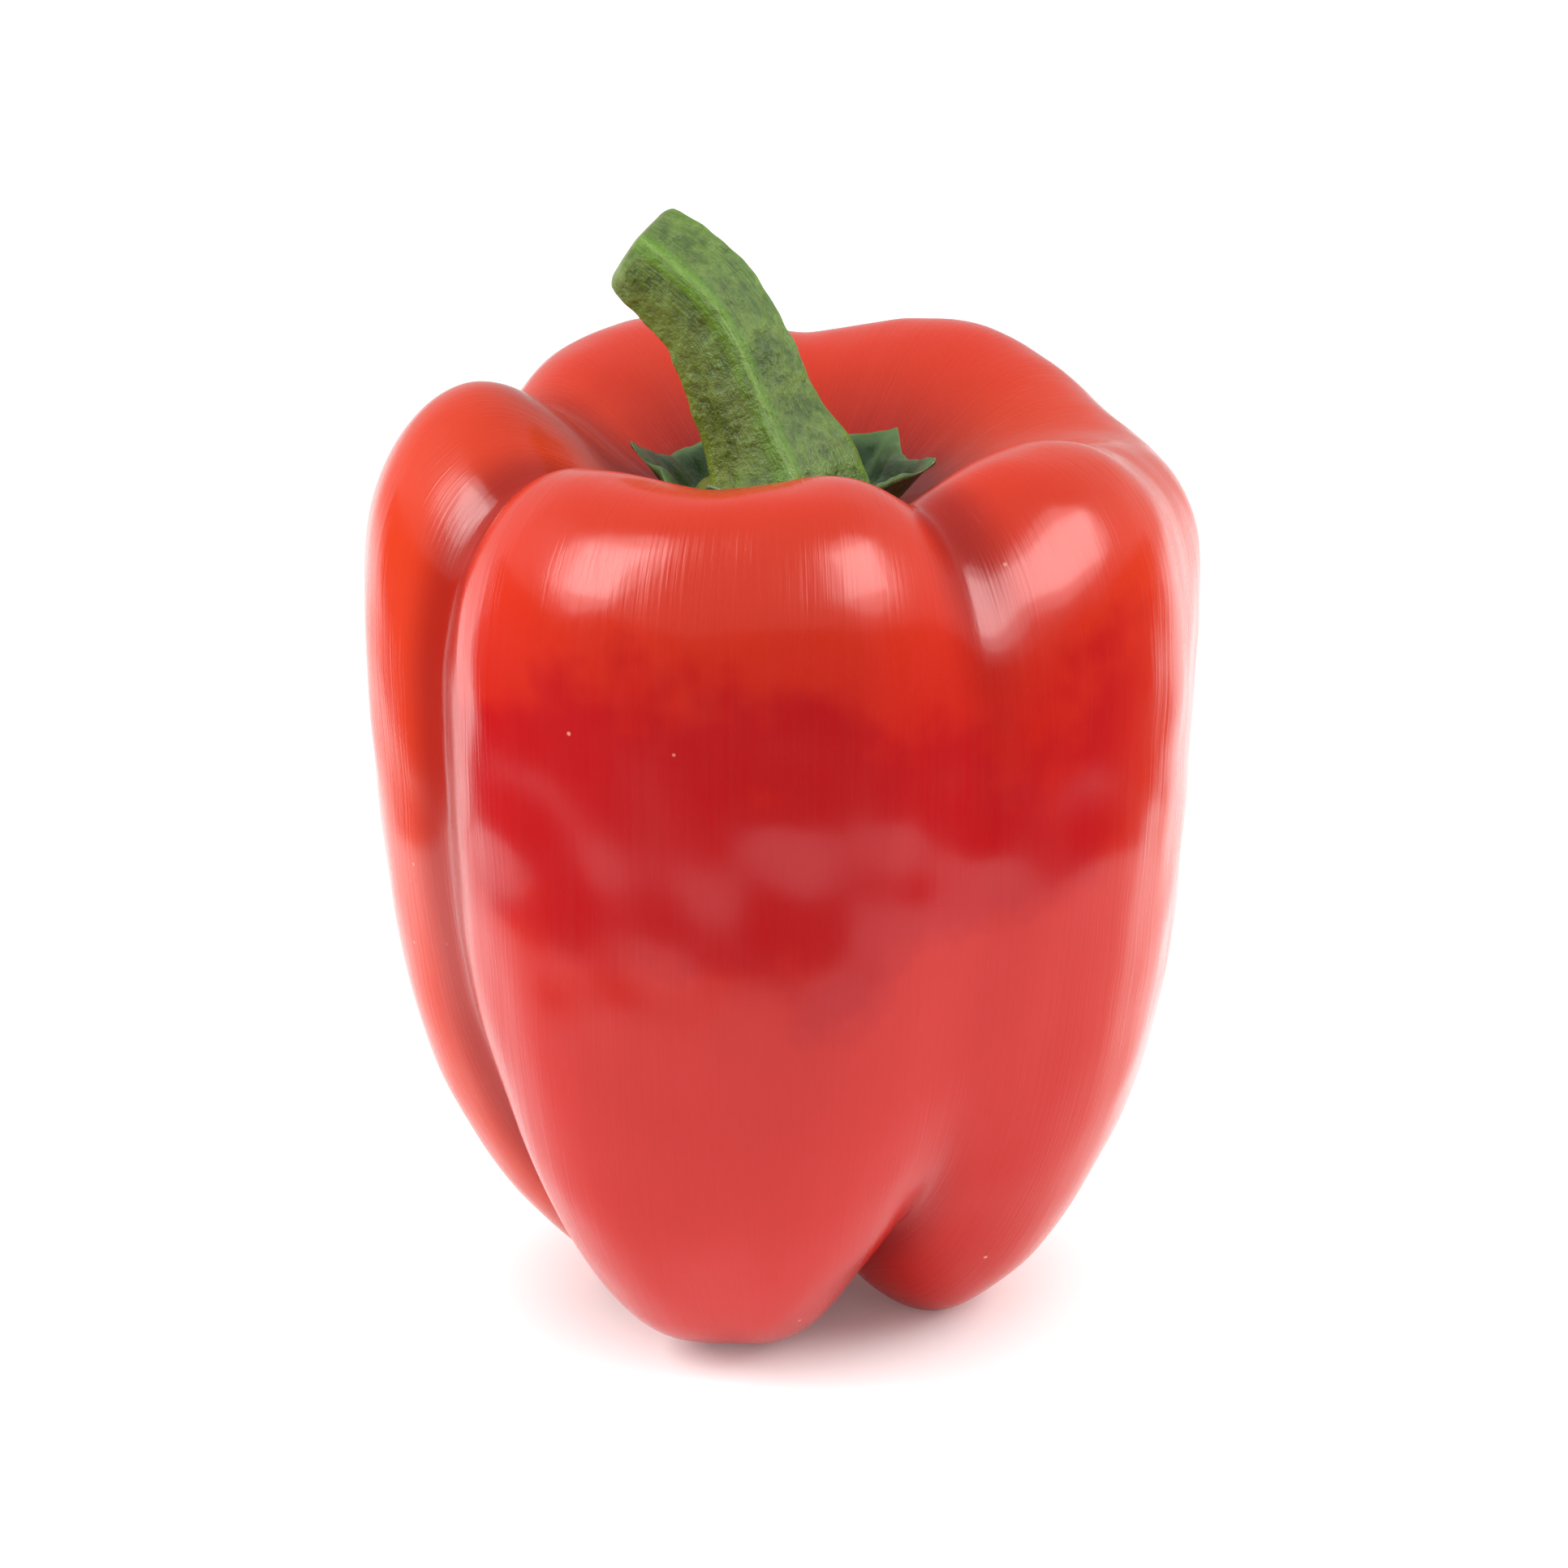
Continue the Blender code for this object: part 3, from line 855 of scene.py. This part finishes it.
@dataclass
class Fruit:
    """The red body: lobes swelling out from grooves, from the crown's hollow to the blossom end.

    Attributes:
        columns, rows: how many points there are round it, and from pole to pole.
        blockiness: the power of a lobe's sine at the rim, the waist and the foot.
        foot_starts: where the foot's values start, and over what length they come in.
        twist: where the lobes start to lean, and over what length.
        reaches: how many stations either side a lobe's change is felt.
        ripples: the unevenness of the skin.
        crown_creases: how many faint creases run down into the hollow, and how deep they are.
        crease_place: where along the fruit the creases lie, and over what length.
        pole_fade: the length over which the unevenness fades at either pole.
        groove_shade_swell: the swell at which the painted groove shade starts, and its fade.
        groove_shade_starts: where along the fruit the painted groove shade starts, and over what length.
        hollow_shade_ends: where along the fruit the painted hollow shade ends, and over what length.
        finish: the skin.
    """

    columns: int = 380
    rows: int = 256
    blockiness: Triple = (0.85, 0.9, 0.72)
    foot_starts: Pair = (0.6, 0.2)
    twist: Pair = (0.38, 0.5)
    reaches: dict[str, float] = field(
        default_factory=lambda: {"rim": 3.2, "shoulder": 3.0, "waist": 4.0, "heel": 3.5, "foot": 3.0}
    )
    ripples: tuple[Ripples, ...] = (
        Ripples(11, 34.0, 0.22, 2.2),
        Ripples(12, 13.0, 0.07, 2.6),
        Ripples(14, 11.0, 0.045, 1.0),
        Ripples(13, 5.0, 0.018, 3.0),
    )
    crown_creases: tuple[int, float] = (34, 0.02)
    crease_place: Pair = (0.15, 0.07)
    pole_fade: float = 0.08
    groove_shade_swell: Pair = (0.55, 0.45)
    groove_shade_starts: Pair = (0.08, 0.06)
    hollow_shade_ends: Pair = (0.22, 0.10)
    finish: SkinFinish = SkinFinish()

    def felt(self, name: str) -> Array:
        """How far a change at the named station is felt at each: a cosine window over its reach."""
        names = [station.name for station in STATIONS]
        away = np.abs(np.arange(len(names)) - names.index(name)) / self.reaches[name]
        return np.where(away < 1.0, 0.5 + 0.5 * np.cos(np.pi * away), 0.0)

    def crest_change(self, lobe: Lobe, along: Array) -> Array:
        """The outward and upward shift of one lobe's crest.

        Args:
            lobe: the lobe.
            along: places from pole to pole.

        Returns:
            Two numbers for each place.
        """
        moves = {
            "rim": lobe.rim_out,
            "shoulder": lobe.shoulder_out,
            "waist": lobe.waist_out,
            "heel": lobe.belly_out,
            "foot": lobe.foot_out,
        }
        out = sum(move * self.felt(name) for name, move in moves.items())
        up = lobe.rim_up * self.felt("rim") + lobe.foot_up * self.felt("foot")
        return spline(np.stack([out, up], axis=1), along)

    def by_height(self, values: Triple, along: Array, rim: Pair = RIM) -> Array:
        """A value for the rim, one for the waist and one for the foot, blended along the fruit.

        Args:
            values: the three values.
            along: places from pole to pole.
            rim: where the rim's value starts to fade, and over what length.

        Returns:
            The value at each place.
        """
        rim_share = 1.0 - smooth((along - rim[0]) / rim[1])
        foot = smooth((along - self.foot_starts[0]) / self.foot_starts[1])
        return values[0] * rim_share + values[1] * (1.0 - rim_share - foot) + values[2] * foot

    def twisted(self, feature: Union[Lobe, Groove], along: Array) -> Array:
        """A feature's angle, which leans from the rim's to the foot's along an S-curve."""
        turned = smooth((along - self.twist[0]) / self.twist[1])
        return feature.rim_angle + (feature.foot_angle - feature.rim_angle) * turned

    def swell(self, turned: Array, ends: tuple[Array, Array], groove: Groove, along: Array) -> Array:
        """How far the wall swells between two crests: 0 on a full groove's floor, 1 on a crest.

        With t the share of the way from the groove to the nearer crest, blunted near 0 by
        sqrt(t^2 + s^2) - s, the swell is sin(pi t / 2) to the blockiness, scaled by the depth.

        Args:
            turned: the angle of each point.
            ends: the angles of the crests before and after.
            groove: the groove between them.
            along: places from pole to pole.

        Returns:
            The swell at each point.
        """
        middle = self.twisted(groove, along)
        reach = np.where(turned < middle, middle - ends[0], ends[1] - middle)
        t = np.clip(np.abs(turned - middle) / reach, 0.0, 1.0)
        blunt = self.by_height(groove.softness, along)
        t = (np.sqrt(t * t + blunt * blunt) - blunt) / (np.sqrt(1.0 + blunt * blunt) - blunt)
        depth = self.by_height(groove.depth, along, groove.rim)
        full = np.sin(np.pi / 2.0 * t) ** self.by_height(self.blockiness, along)
        return 1.0 - depth + depth * full

    def profile(self, angles: Array, along: Array) -> tuple[Array, Array]:
        """The wall's radius and height, and its swell, for each angle and each place.

        Between two crests the point is floor (1 - swell) + crest swell, where the crest is the
        common one moved by the two lobes' changes, blended by an S-curve round the fruit.

        Args:
            angles: degrees round the fruit.
            along: places from pole to pole.

        Returns:
            The radius and height of each point, and the swell of each point.
        """
        crest = spline(np.array([station[1:3] for station in STATIONS]), along)
        floor = spline(np.array([station[3:5] for station in STATIONS]), along)
        changes = [self.crest_change(lobe, along) for lobe in LOBES]
        crests = [self.twisted(lobe, along) for lobe in LOBES]
        turned = (angles[:, None] - crests[0]) % FULL_TURN + crests[0]
        points = np.zeros(turned.shape + (2,))
        swells = np.zeros(turned.shape)
        for i, groove in enumerate(GROOVES):
            after = (i + 1) % len(LOBES)
            end = crests[after] + (FULL_TURN if after == 0 else 0.0)
            share = smooth((turned - crests[i]) / (end - crests[i]))[..., None]
            swell = self.swell(turned, (crests[i], end), groove, along)
            outer = crest + changes[i] * (1.0 - share) + changes[after] * share
            here = (turned >= crests[i]) & (turned < end)
            points[here] = (floor * (1.0 - swell[..., None]) + outer * swell[..., None])[here]
            swells[here] = swell[here]
        return points, swells

    def surface(self) -> Surface:
        """The skin's points and the facts that its finish reads.

        The ripples move each point along its normal, and fade out at the poles. The feet are
        pressed flat on the floor.

        Returns:
            The points, and the growth attribute and the masks of the painted groove shade and the
            painted hollow shade.
        """
        angles = round_turn(self.columns)
        along = np.linspace(0.0, 1.0, self.rows)
        profile, swells = self.profile(angles, along)
        points = round_axis(angles, profile[..., 0], profile[..., 1])
        normals = outward_normals(points)
        fade = (smooth(along / self.pole_fade) * smooth((1.0 - along) / self.pole_fade))[None, :]
        lift = sum(ripple.at(points) for ripple in self.ripples)
        count, depth = self.crown_creases
        creased = bell(along, *self.crease_place)[None, :] * np.cos(np.radians(angles * count))[:, None]
        lift = (lift + depth * creased) * fade
        points = points + normals * lift[..., None]
        points[..., 2] = np.maximum(points[..., 2], 0.0)
        turned = np.radians(angles)[:, None] + 0.0 * along
        growth = np.stack([np.cos(turned), np.sin(turned), along + 0.0 * turned], axis=-1)
        shallow, groove_shade_fade = self.groove_shade_swell
        crown, crown_fade = self.groove_shade_starts
        # mask of the painted shade on the grooves' floors
        painted_groove_shade = smooth((shallow - swells) / groove_shade_fade) * smooth((along - crown) / crown_fade)
        hollow_shade_end, hollow_shade_fade = self.hollow_shade_ends
        # mask of the painted shade inside the crown's hollow
        painted_hollow_shade = smooth((hollow_shade_end - along) / hollow_shade_fade)[None, :] + 0.0 * swells
        return points, {"growth": growth, "painted_groove_shade": painted_groove_shade, "painted_hollow_shade": painted_hollow_shade}

    def crown_height(self, angles: Array, radii: Array) -> Array:
        """The height of the crown's hollow at each angle, for a row of radii at each.

        Args:
            angles: degrees round the fruit.
            radii: distances from the axis, as angles by places.

        Returns:
            Heights of the same shape as radii.
        """
        rim = [station.name for station in STATIONS].index("rim") / (len(STATIONS) - 1)
        profile, _ = self.profile(angles, np.linspace(0.0, rim, 60))
        rows = [np.interp(r, line[:, 0], line[:, 1]) for r, line in zip(radii, profile)]
        return np.array(rows)

    def build(self) -> Piece:
        """Makes the fruit in place of its node."""
        return grow("pepper_fruit", self.surface(), Node.FRUIT, self.finish)


# The calyx and the stem


@dataclass
class Calyx:
    """The green star that caps the fruit: six sepals round a raised collar.

    Attributes:
        fruit: the fruit it sits in.
        angles: where each sepal points, in degrees.
        lengths: how far each sepal reaches from the axis.
        notch_r: how far out the notches between sepals are.
        half_angle: half of a sepal's width at the notch.
        point: how sharply a sepal narrows.
        curl: how far the tips lift, and where along the sepal they start to.
        vein_width: the veins' width in degrees.
        vein: how high a vein stands, where along the sepal, and over what length.
        ripple_reach: how fast the unevenness comes in from the middle.
        edge_starts: where along the sepal the edge's colour starts.
        collar: the collar's radius, its top and its fade.
        thickness: at the middle and at the edge.
        ripples: the unevenness of the top.
        columns, rows: how many points there are round it, and from the middle to the edge.
        finish: the leaf.
    """

    fruit: Fruit
    angles: tuple[float, ...] = (-4.0, 40.0, 108.0, 176.0, 240.0, 300.0)
    lengths: tuple[float, ...] = (14.8, 14.6, 14.2, 15.0, 14.4, 14.6)
    notch_r: float = 12.4
    half_angle: float = 19.0
    point: float = 1.4
    curl: Pair = (3.4, 0.6)
    vein_width: float = 2.5
    vein: Triple = (0.22, 0.8, 0.25)
    ripple_reach: float = 1.6
    edge_starts: float = 0.86
    collar: Triple = (8.6, 81.2, 2.0)
    thickness: Pair = (1.1, 0.5)
    ripples: tuple[Ripples, ...] = (Ripples(21, 6.0, 0.22), Ripples(22, 2.2, 0.07))
    columns: int = 420
    rows: int = 60
    finish: SepalFinish = SepalFinish()

    def outline(self, around: Array) -> tuple[Array, Array]:
        """The star's radius and how near each angle is to a sepal's midline.

        The radius is the notch circle, lengthened towards each sepal's tip by the share
        (1 - away / half angle) to the point power.

        Args:
            around: degrees round the calyx.

        Returns:
            The radius, and the nearness from 0 to 1.
        """
        radius = np.full(len(around), self.notch_r)
        vein = np.zeros(len(around))
        for middle, length in zip(self.angles, self.lengths):
            away = np.abs(turn_between(around, middle))
            share = np.clip(1.0 - away / self.half_angle, 0.0, 1.0) ** self.point
            radius = np.maximum(radius, self.notch_r + (length - self.notch_r) * share)
            vein = np.maximum(vein, bell(away, 0.0, self.vein_width))
        return radius, vein

    def surface(self) -> Surface:
        """The star's points: out under it, round its edge, and back over the top.

        Returns:
            The points, and the vein and edge attributes.
        """
        around = round_turn(self.columns)
        share = np.linspace(0.0, 1.0, self.rows)
        radius, vein = self.outline(around)
        radii = radius[:, None] * share
        curl = self.curl[0] * smooth((share - self.curl[1]) / (1.0 - self.curl[1]))
        under = self.fruit.crown_height(around, radii) + curl
        under = np.maximum(under, under[:, :1])
        thick = self.thickness[0] + (self.thickness[1] - self.thickness[0]) * share**2
        collar_r, collar_top, collar_fade = self.collar
        collar = smooth((collar_r + collar_fade - radii) / collar_fade)
        veins = self.vein[0] * vein[:, None] * bell(share, *self.vein[1:])
        over = (under + thick + veins) * (1.0 - collar) + collar_top * collar
        lower = round_axis(around, radii, under)
        upper = round_axis(around, radii, over)
        lift = sum(ripple.at(upper) for ripple in self.ripples)
        upper[..., 2] += lift * smooth(share * self.ripple_reach)
        points = np.concatenate([lower, upper[:, ::-1]], axis=1)
        edge = smooth((share[::-1] - self.edge_starts) / (1.0 - self.edge_starts))
        edge = np.concatenate([share * 0.0, edge])
        veins = np.concatenate([0.0 * radii, vein[:, None] * share[::-1]], axis=1)
        return points, {"vein": veins, "edge": edge[None, :] + 0.0 * veins}

    def build(self) -> Piece:
        """Makes the calyx in place of its node."""
        return grow("pepper_calyx", self.surface(), Node.CALYX, self.finish)


@dataclass
class Stem:
    """The bent stalk: five ridges carried along a curved line, flared at the foot.

    Attributes:
        line: the middle line, from the calyx to the cut.
        radii: the radius at each point of the line.
        ridges: how many ridges there are.
        ridge_turn: the first ridge's angle at the foot, and how far it twists by the cut.
        ridge_height: the ridges' height as a share of the radius.
        ridge_power: how narrow the ridges are.
        ripples: the unevenness of the sides.
        columns, rows, cap_rows: how many points there are round it, along it and across an end.
        cut_round: how far the cut's edge is rounded over, and the power that keeps its middle flat.
        cut_dish: how far the cut's middle is sunk.
        rust_width: the rusty side's width in degrees.
        rust: how rusty it is everywhere, how much more near the foot, where, and over what length.
        highlit_ridge_width: how wide, in degrees, the main ridge's bright part is, a painted highlight
            on the ridge facing the front.
        highlight_line_place: how far its painted highlight line is off its middle and how wide it is, in
            degrees.
        finish: the stalk.
    """

    line: tuple[Triple, ...] = (
        (-0.3, 0.4, 81.0),
        (-0.3, 0.4, 84.0),
        (-2.0, 0.9, 87.4),
        (-3.5, 1.6, 91.0),
        (-5.1, 2.4, 94.9),
        (-7.2, 3.3, 98.6),
        (-10.1, 4.3, 101.6),
        (-13.1, 5.2, 103.8),
    )
    radii: tuple[float, ...] = (8.8, 7.2, 5.9, 5.6, 5.6, 5.6, 5.4, 5.0)
    ridges: int = 5
    ridge_turn: Pair = (-10.0, 6.0)
    ridge_height: float = 0.10
    ridge_power: float = 4.0
    ripples: tuple[Ripples, ...] = (Ripples(31, 8.0, 0.12, 1.6), Ripples(32, 2.6, 0.05, 1.3))
    columns: int = 200
    rows: int = 220
    cap_rows: int = 24
    cut_round: Pair = (1.6, 4.0)
    cut_dish: float = 0.35
    rust_width: float = 50.0
    rust: tuple[float, ...] = (0.35, 0.5, 0.15, 0.15)
    highlit_ridge_width: float = 70.0
    highlight_line_place: Pair = (3.0, 2.4)
    finish: StalkFinish = StalkFinish()

    def frames(self, places: Array) -> tuple[Array, ...]:
        """The middle line, its two square directions and its tangent, from central differences."""
        centre = spline(np.array(self.line), places)
        tangent = np.gradient(centre, axis=0)
        tangent /= np.linalg.norm(tangent, axis=1, keepdims=True)
        side = np.cross((0.0, 1.0, 0.0), tangent)
        side /= np.linalg.norm(side, axis=1, keepdims=True)
        return centre, side, np.cross(tangent, side), tangent

    def surface(self) -> Surface:
        """The stalk's points: out over the foot, up the ridged side, in over the cut.

        The radius is the profile's, times 1 + height (cos^2p - its mean), with the cosine of
        half the ridge count times the angle.

        Returns:
            The points, and the growth, ridge, line, rust and cut attributes.
        """
        inward = np.linspace(0.0, 1.0, self.cap_rows + 1)
        side_places = np.linspace(0.0, 1.0, self.rows)
        caps = np.zeros(self.cap_rows)
        places = np.concatenate([caps, side_places, caps + 1.0])
        size = np.concatenate([inward[:-1], np.ones(self.rows), inward[-2::-1]])
        cut = np.concatenate([np.zeros(self.cap_rows + self.rows), 1.0 - inward[-2::-1]])
        held = [
            np.concatenate([line[:1].repeat(self.cap_rows, 0), line, line[-1:].repeat(self.cap_rows, 0)])
            for line in self.frames(side_places)
        ]
        centre, side, front, tangent = held
        pushed = self.cut_round[0] * np.sqrt(1.0 - (1.0 - cut) ** self.cut_round[1])
        centre = centre + tangent * (pushed - self.cut_dish * smooth(cut * 2.5 - 0.5))[:, None]
        radius = spline(np.array(self.radii)[:, None], places)[:, 0]
        angles = round_turn(self.columns)
        turn = self.ridge_turn[0] + self.ridge_turn[1] * places
        phase = np.radians(self.ridges * (angles[:, None] - turn) / 2.0)
        ridge = np.abs(np.cos(phase)) ** (2.0 * self.ridge_power)
        ridged = radius * size * (1.0 + self.ridge_height * (ridge - 0.3))
        turned = np.radians(angles)[:, None]
        outward = np.cos(turned)[..., None] * side + np.sin(turned)[..., None] * front
        points = centre + ridged[..., None] * outward
        lift = sum(ripple.at(points) for ripple in self.ripples) * size
        points = points + outward * lift[..., None]
        turned = turned + 0.0 * places
        growth = np.stack([np.cos(turned), np.sin(turned), places + 0.0 * turned], axis=-1)
        left = bell(turn_between(angles, FULL_TURN / 2.0), 0.0, self.rust_width)[:, None]
        rust = left * (self.rust[0] + self.rust[1] * bell(places, *self.rust[2:]))
        cut_fact = smooth(cut * 3.0)[None, :] + 0.0 * turned
        main = turn_between(angles[:, None], turn - FULL_TURN / self.ridges)
        # mask of the ridge that faces the front, where the ridge colour is partly a painted highlight
        highlit_ridge = ridge * bell(main, 0.0, self.highlit_ridge_width)
        # mask of the painted highlight line beside that ridge
        line = bell(main, *self.highlight_line_place)
        return points, {"growth": growth, "ridge": highlit_ridge, "rust": rust, "cut": cut_fact, "line": line}

    def build(self) -> Piece:
        """Makes the stem in place of its node."""
        return grow("pepper_stem", self.surface(), Node.STEM, self.finish)


# The studio


class Softbox(NamedTuple):
    """A soft lamp: its place round the object, its size in metres and its power in watts."""

    name: str
    around: float
    above: float
    distance: float
    width: float
    height: float
    watts: float
    gloss_only: bool = False
    oval: bool = False


@dataclass
class Studio:
    """The pale floor, the lamps, the sky and the camera.

    Attributes:
        target: what the camera and the lamps look at, in metres.
        camera_above: the camera's angle above the horizon, in degrees.
        camera_distance: how far the camera is, in metres.
        lens: the focal length, in millimetres.
        sensor: the sensor's width, in millimetres.
        floor_side: the floor's side, in metres.
        flag: the inner radius, outer radius and upturned height of the dark flag, in metres.
        flag_half_angle: how far the flag reaches round either side of the front, in degrees.
        flag_steps: how many panels it has.
        flag_lift: how far the flag floats above the floor, in metres.
        sky: the light from all round.
        lamps: the soft lamps.
    """

    target: Triple = (0.0004, 0.0005, 0.0516)
    camera_above: float = 17.0
    camera_distance: float = 0.62
    lens: float = 144.4
    sensor: float = 36.0
    floor_side: float = 12.0
    flag: Triple = (0.165, 1.5, 0.30)
    flag_half_angle: float = 125.0
    flag_steps: int = 48
    flag_lift: float = 0.0005
    sky: float = 0.64
    lamps: tuple[Softbox, ...] = (
        Softbox("left_window", -56.0, 36.0, 0.80, 0.24, 0.44, 2.4, True),
        Softbox("left_curtain", -56.0, 36.0, 0.81, 0.46, 0.76, 4.0, True, True),
        Softbox("right_window", 50.0, 38.0, 0.80, 0.56, 0.40, 4.6, True),
        Softbox("right_curtain", 50.0, 38.0, 0.81, 0.94, 0.66, 5.6, True, True),
        Softbox("left_fill", -92.0, 34.0, 1.0, 0.6, 0.6, 9.0),
        Softbox("right_fill", 92.0, 34.0, 1.0, 0.6, 0.6, 6.8),
    )

    def plate(
        self, name: str, corners: Sequence[Triple], faces: Sequence[Sequence[int]], finish: Any
    ) -> Piece:
        """A thin stage piece.

        Args:
            name: its name.
            corners: its points, in metres.
            faces: which points each of its faces joins.
            finish: what it is made of.

        Returns:
            The piece.
        """
        mesh = bpy.data.meshes.new(name)
        mesh.from_pydata(list(corners), [], list(faces))
        mesh.materials.append(finish.make())
        piece = bpy.data.objects.new(name, mesh)
        bpy.context.collection.objects.link(piece)
        return piece

    def floor(self) -> None:
        """Lays the floor."""
        half = self.floor_side / 2.0
        corners = ((-half, -half, 0.0), (half, -half, 0.0), (half, half, 0.0), (-half, half, 0.0))
        self.plate("pale_floor", corners, [(0, 1, 2, 3)], FloorFinish())

    def flag_round_front(self) -> None:
        """Stands the dark flag that only reflections see: a flat ring sector with a turned-up rim."""
        inner, outer, height = self.flag
        turn = np.radians(np.linspace(-self.flag_half_angle, self.flag_half_angle, self.flag_steps + 1))
        way = np.stack([np.sin(turn), -np.cos(turn), 0.0 * turn], axis=1)
        up = np.array([0.0, 0.0, 1.0])
        sizes = ((inner, self.flag_lift), (outer, self.flag_lift), (outer, height))
        rings = [way * radius + up * lift for radius, lift in sizes]
        start = np.arange(self.flag_steps)
        step = self.flag_steps + 1
        faces = [
            np.stack([start + k, start + k + 1, start + k + step + 1, start + k + step], axis=1).tolist()
            for k in (0, step)
        ]
        flag = self.plate("dark_flag", np.concatenate(rings).tolist(), faces[0] + faces[1], FlagFinish())
        for unseen in ("camera", "diffuse", "shadow", "transmission"):
            setattr(flag, f"visible_{unseen}", False)

    def lamp(self, box: Softbox) -> None:
        """Hangs one soft lamp round the target, facing it."""
        data = bpy.data.lights.new(box.name, "AREA")
        data.shape = "ELLIPSE" if box.oval else "RECTANGLE"
        data.size, data.size_y, data.energy = box.width, box.height, box.watts
        around, above = math.radians(box.around), math.radians(box.above)
        level = math.cos(above)
        way = Vector((math.sin(around) * level, -math.cos(around) * level, math.sin(above)))
        lamp = bpy.data.objects.new(box.name, data)
        lamp.location = Vector(self.target) + way * box.distance
        lamp.rotation_euler = way.to_track_quat("Z", "Y").to_euler()
        lamp.visible_diffuse = not box.gloss_only
        lamp.visible_glossy = box.gloss_only
        lamp.visible_camera = False
        bpy.context.collection.objects.link(lamp)

    def air(self) -> None:
        """Fills the room with even light."""
        world = bpy.data.worlds.new("studio_air")
        world.use_nodes = True
        background = world.node_tree.nodes["Background"]
        background.inputs["Color"].default_value = (1.0, 1.0, 1.0, 1.0)
        background.inputs["Strength"].default_value = self.sky
        bpy.context.scene.world = world

    def camera(self) -> None:
        """Stands the camera in front, looking down at the target."""
        data = bpy.data.cameras.new("portrait_camera")
        data.lens, data.sensor_width = self.lens, self.sensor
        camera = bpy.data.objects.new("portrait_camera", data)
        above = math.radians(self.camera_above)
        back = Vector((0.0, -math.cos(above), math.sin(above))) * self.camera_distance
        camera.location = Vector(self.target) + back
        camera.rotation_euler = (math.pi / 2.0 - above, 0.0, 0.0)
        bpy.context.collection.objects.link(camera)
        bpy.context.scene.camera = camera

    def build(self) -> None:
        """Sets up the whole studio."""
        self.floor()
        self.flag_round_front()
        for box in self.lamps:
            self.lamp(box)
        self.air()
        self.camera()
        bpy.context.scene.view_settings.view_transform = "Standard"
        bpy.context.scene.view_settings.look = "None"


def report(piece: Piece) -> None:
    """Logs a piece's name and how many faces it has."""
    LOG.info("%s: %d faces", piece.name, len(piece.data.polygons))


def main() -> None:
    """Builds the studio, the fruit, the calyx and the stem."""
    logging.basicConfig(level=logging.INFO, format="%(name)s: %(message)s")
    Studio().build()
    fruit = Fruit()
    report(fruit.build())
    report(Calyx(fruit).build())
    report(Stem().build())
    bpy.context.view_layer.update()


if __name__ == "__main__":
    main()
